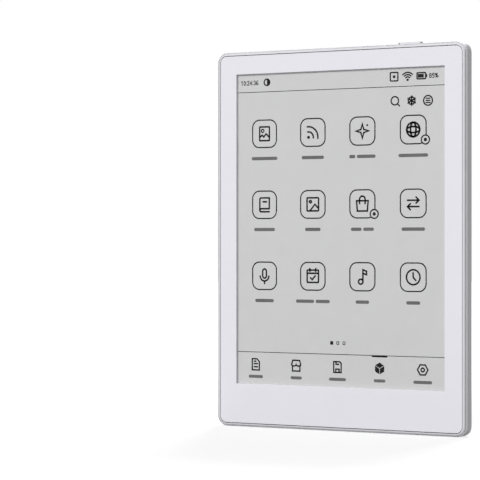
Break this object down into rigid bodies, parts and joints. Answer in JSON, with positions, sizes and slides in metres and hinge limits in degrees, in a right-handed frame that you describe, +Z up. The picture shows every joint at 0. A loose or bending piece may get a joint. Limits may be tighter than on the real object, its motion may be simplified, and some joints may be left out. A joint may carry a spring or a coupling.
{
  "type": "e-reader",
  "caption": "Thin upright electronic-paper reader: flat window panel in a rounded frame, clipped-on rear cover, top power button and ports in the bottom edge.",
  "frame": {"origin": "centre of the bottom edge, on the surface that the reader stands on, midway through its thickness", "axes": "+X to the right seen from the front, +Y from the screen towards the rear cover, +Z up along the height"},
  "size_m": [0.108, 0.0068, 0.1492],
  "materials": {
    "panel_white": "smooth satin, cool white",
    "adhesive": "matt black film",
    "frame_white": "smooth satin, cool white",
    "cover_white": "fine satin, cool white",
    "accent": "satin, pale warm grey",
    "clear_film": "clear with a matt face",
    "flex_circuit": "amber film over copper",
    "black_chip": "matt black moulding",
    "connector": "ivory moulding",
    "light_guide": "clear, polished edges",
    "lamp": "pale yellow phosphor",
    "epaper": "matt paper-like grey",
    "backplane": "dark clear glass",
    "cell_pouch": "satin aluminium pouch",
    "white_adhesive": "matt white film",
    "circuit_board": "green solder mask",
    "nickel": "bright nickel strip",
    "red_wire": "red insulation",
    "black_wire": "black insulation",
    "white_wire": "white insulation",
    "tinned_steel": "tinned sheet steel",
    "graphite": "matt graphite sheet",
    "parts_mixed": "brown ceramic and ferrite",
    "copper": "copper foil under film",
    "gold": "gold plating",
    "black_rubber": "matt black rubber",
    "white_slider": "natural nylon",
    "spring_steel": "bright spring wire",
    "button_white": "satin, cool white",
    "dark_steel": "blackened steel"
  },
  "bodies": {
    "reader": {"front_bezel": "panel_white", "bezel_tape": "adhesive", "mid_frame": "frame_white", "rear_cover": "cover_white", "accent_line": "accent", "touch_film": "clear_film", "touch_flex": "flex_circuit", "touch_chip": "black_chip", "touch_connector": "connector", "light_guide": "light_guide", "light_leds": "lamp", "light_flex": "flex_circuit", "light_connector": "connector", "epaper_film": "epaper", "display_glass": "backplane", "display_drivers": "black_chip", "display_flex": "flex_circuit", "display_connector": "connector", "display_tape": "adhesive", "battery_cell": "cell_pouch", "battery_tape": "white_adhesive", "battery_board": "circuit_board", "battery_tabs": "nickel", "battery_lead_red": "red_wire", "battery_lead_black": "black_wire", "battery_lead_white": "white_wire", "battery_plug": "connector", "battery_socket": "connector", "main_board": "circuit_board", "processor": "black_chip", "memory_chip": "black_chip", "processor_shield": "tinned_steel", "thermal_sheet": "graphite", "storage_chip": "black_chip", "power_chip": "black_chip", "display_power_chip": "black_chip", "board_parts": "parts_mixed", "wifi_chip": "black_chip", "wifi_shield": "tinned_steel", "wifi_antenna": "copper", "antenna_coax": "black_wire", "antenna_plug": "gold", "usb_shell": "tinned_steel", "usb_tongue": "black_rubber", "card_socket": "black_chip", "card_contacts": "gold", "card_lid": "tinned_steel", "card_spring": "spring_steel", "microphone": "gold", "mic_gasket": "black_rubber", "hall_sensor": "black_chip", "power_switch": "tinned_steel", "key_flex": "flex_circuit", "key_connector": "connector", "board_screws": "dark_steel"},
    "power_key": {"power_button": "button_white", "switch_plunger": "black_chip"},
    "card_carriage": {"card_slider": "white_slider"}
  },
  "joints": [
    {"name": "power_press", "type": "slide", "parent": "reader", "child": "power_key", "axis": [0, 0, -1], "range_m": [0, 0.0003], "stiffness_N_per_m": 4000},
    {"name": "card_push", "type": "slide", "parent": "reader", "child": "card_carriage", "axis": [0, 0, 1], "range_m": [0, 0.0042], "stiffness_N_per_m": 150, "deforming": ["card_spring"]}
  ]
}
